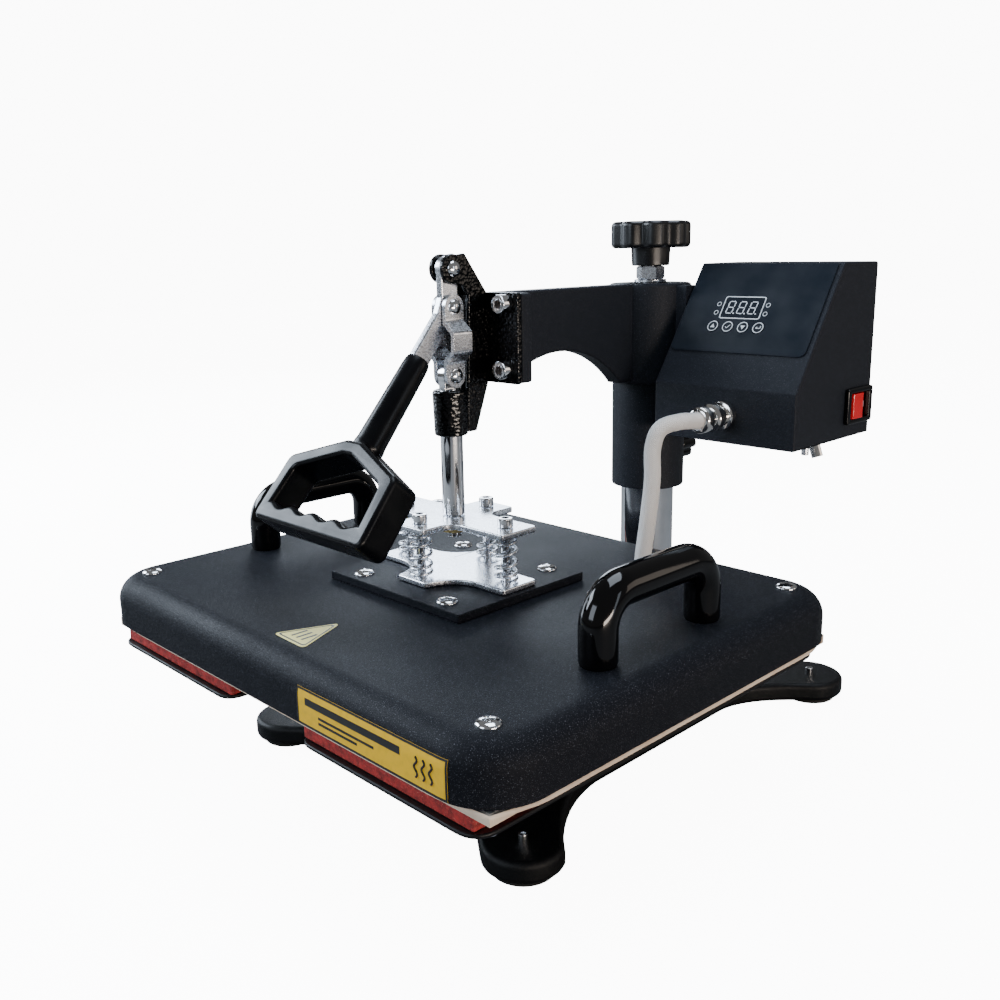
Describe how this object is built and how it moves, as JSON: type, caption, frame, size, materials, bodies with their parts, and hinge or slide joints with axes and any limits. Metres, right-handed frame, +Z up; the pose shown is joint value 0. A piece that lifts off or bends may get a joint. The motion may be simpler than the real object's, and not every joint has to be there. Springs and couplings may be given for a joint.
{
  "type": "swing-away heat press",
  "caption": "Swing-away heat press with a flat heated platen on a toggle plunger, a swinging arm on a chrome post, a tilted control box and a red silicone pad on a footed base.",
  "frame": {"origin": "centre of the footprint of the whole press, on the table under the rubber feet", "axes": "+X to the operator's right, towards the control box; +Y to the back, towards the post; +Z up"},
  "size_m": [0.4, 0.4539, 0.372],
  "materials": {
    "casting_black": "black paint on a casting, satin",
    "tray_black": "satin black paint",
    "powder_black": "fine-textured blue-black powder coat",
    "hammered_black": "glossy hammered black paint",
    "gloss_black": "moulded, high gloss",
    "grip_black": "moulded, semi-gloss",
    "chrome": "polished",
    "zinc": "bright zinc plate",
    "brass": "turned, dull",
    "aluminium": "milled",
    "silicone": "mottled red foam silicone",
    "rubber": "matt",
    "release_sheet": "cream coated cloth",
    "glass_fibre": "felt",
    "woven_sleeve": "cream braided glass sleeving",
    "panel_film": "smooth navy-black film",
    "display_window": "smoked window",
    "switch_red": "translucent red"
  },
  "bodies": {
    "base": {"base_casting": "casting_black", "rubber_foot_front_left": "rubber", "rubber_foot_back_left": "rubber", "rubber_foot_front_right": "rubber", "rubber_foot_back_right": "rubber", "post": "chrome", "lower_platen_stand": "casting_black", "lower_platen_tray": "tray_black", "silicone_pad": "silicone"},
    "swivel": {"swivel_cap": "zinc"},
    "arm": {"arm_casting": "powder_black", "arm_sleeve": "powder_black", "toggle_bracket": "hammered_black", "toggle_top_rivet": "chrome", "pressure_washer": "zinc", "arm_spring": "zinc", "control_box_shell": "powder_black", "control_box_floor": "powder_black", "control_panel": "panel_film", "display_window": "display_window", "switch_bezel": "gloss_black", "lead_gland": "chrome", "earth_screw": "zinc", "mains_gland": "brass", "heater_lead": "woven_sleeve"},
    "pressure_knob": {"pressure_screw": "chrome", "pressure_knob": "gloss_black"},
    "lock_knob": {"lock_knob": "gloss_black"},
    "power_switch": {"power_switch": "switch_red"},
    "plunger": {"plunger_shaft": "chrome", "upper_spider": "zinc", "plunger_nut": "brass", "toggle_lower_rivet": "chrome"},
    "links": {"toggle_link_right": "zinc", "toggle_link_left": "zinc"},
    "lever": {"lever_bar": "zinc", "lever_grip": "grip_black", "lever_handle": "grip_black"},
    "upper_platen": {"platen_cover": "powder_black", "insulation": "glass_fibre", "heat_plate": "aluminium", "release_sheet": "release_sheet", "mount_plate": "powder_black", "lower_spider": "zinc", "side_handle_right": "gloss_black", "side_handle_left": "gloss_black", "spring_bolt_right": "chrome", "platen_spring_right": "zinc", "spring_bolt_back": "chrome", "platen_spring_back": "zinc", "spring_bolt_left": "chrome", "platen_spring_left": "zinc", "spring_bolt_front": "chrome", "platen_spring_front": "zinc"},
    "key_up": {"key_up": "panel_film"},
    "key_ok": {"key_ok": "panel_film"},
    "key_down": {"key_down": "panel_film"},
    "key_enter": {"key_enter": "panel_film"}
  },
  "joints": [
    {"name": "arm_swing", "type": "hinge", "parent": "base", "child": "swivel", "pos_m": [0, 0.1449, 0.2775], "axis": [0, 0, 1], "range_deg": [-180, 180]},
    {"name": "arm_height", "type": "slide", "parent": "swivel", "child": "arm", "axis": [0, 0, 1], "range_m": [0, 0.012], "deforming": ["arm_spring"]},
    {"name": "pressure_knob_turn", "type": "hinge", "parent": "arm", "child": "pressure_knob", "pos_m": [0, 0.1449, 0.3445], "axis": [0, 0, 1], "range_deg": [0, 2160]},
    {"name": "lever_swing", "type": "hinge", "parent": "arm", "child": "lever", "pos_m": [0, -0.066, 0.342], "axis": [-1, 0, 0], "range_deg": [0, 75]},
    {"name": "platen_lift", "type": "slide", "parent": "arm", "child": "plunger", "axis": [0, 0, 1], "range_m": [0, 0.02406], "deforming": ["heater_lead"]},
    {"name": "link_swing", "type": "hinge", "parent": "plunger", "child": "links", "pos_m": [0, -0.066, 0.2747], "axis": [1, 0, 0], "range_deg": [0, 31.67]},
    {"name": "platen_float", "type": "slide", "parent": "plunger", "child": "upper_platen", "axis": [0, 0, 1], "range_m": [0, 0.006], "stiffness_N_per_m": 16000, "springref_m": -0.012, "deforming": ["platen_spring_right", "platen_spring_back", "platen_spring_left", "platen_spring_front", "heater_lead"]},
    {"name": "lock_knob_turn", "type": "hinge", "parent": "arm", "child": "lock_knob", "pos_m": [0, 0.1899, 0.194], "axis": [0, 1, 0], "range_deg": [0, 720]},
    {"name": "power_switch_rock", "type": "hinge", "parent": "arm", "child": "power_switch", "pos_m": [0.1555, 0.185, 0.2401], "axis": [0, 0, 1], "range_deg": [-22.9, 0]},
    {"name": "key_up_press", "type": "slide", "parent": "arm", "child": "key_up", "axis": [0, 0.8285, -0.5599], "range_m": [0, 0.0004], "stiffness_N_per_m": 800},
    {"name": "key_ok_press", "type": "slide", "parent": "arm", "child": "key_ok", "axis": [0, 0.8285, -0.5599], "range_m": [0, 0.0004], "stiffness_N_per_m": 800},
    {"name": "key_down_press", "type": "slide", "parent": "arm", "child": "key_down", "axis": [0, 0.8285, -0.5599], "range_m": [0, 0.0004], "stiffness_N_per_m": 800},
    {"name": "key_enter_press", "type": "slide", "parent": "arm", "child": "key_enter", "axis": [0, 0.8285, -0.5599], "range_m": [0, 0.0004], "stiffness_N_per_m": 800}
  ],
  "couplings": [
    {"joint": "pressure_knob_turn", "follows": "arm_height", "rad_per_m": 3141.6},
    {"joint": "platen_lift", "follows": "lever_swing", "m_per_rad": 0.01838},
    {"joint": "link_swing", "follows": "lever_swing", "ratio": 0.42229}
  ]
}
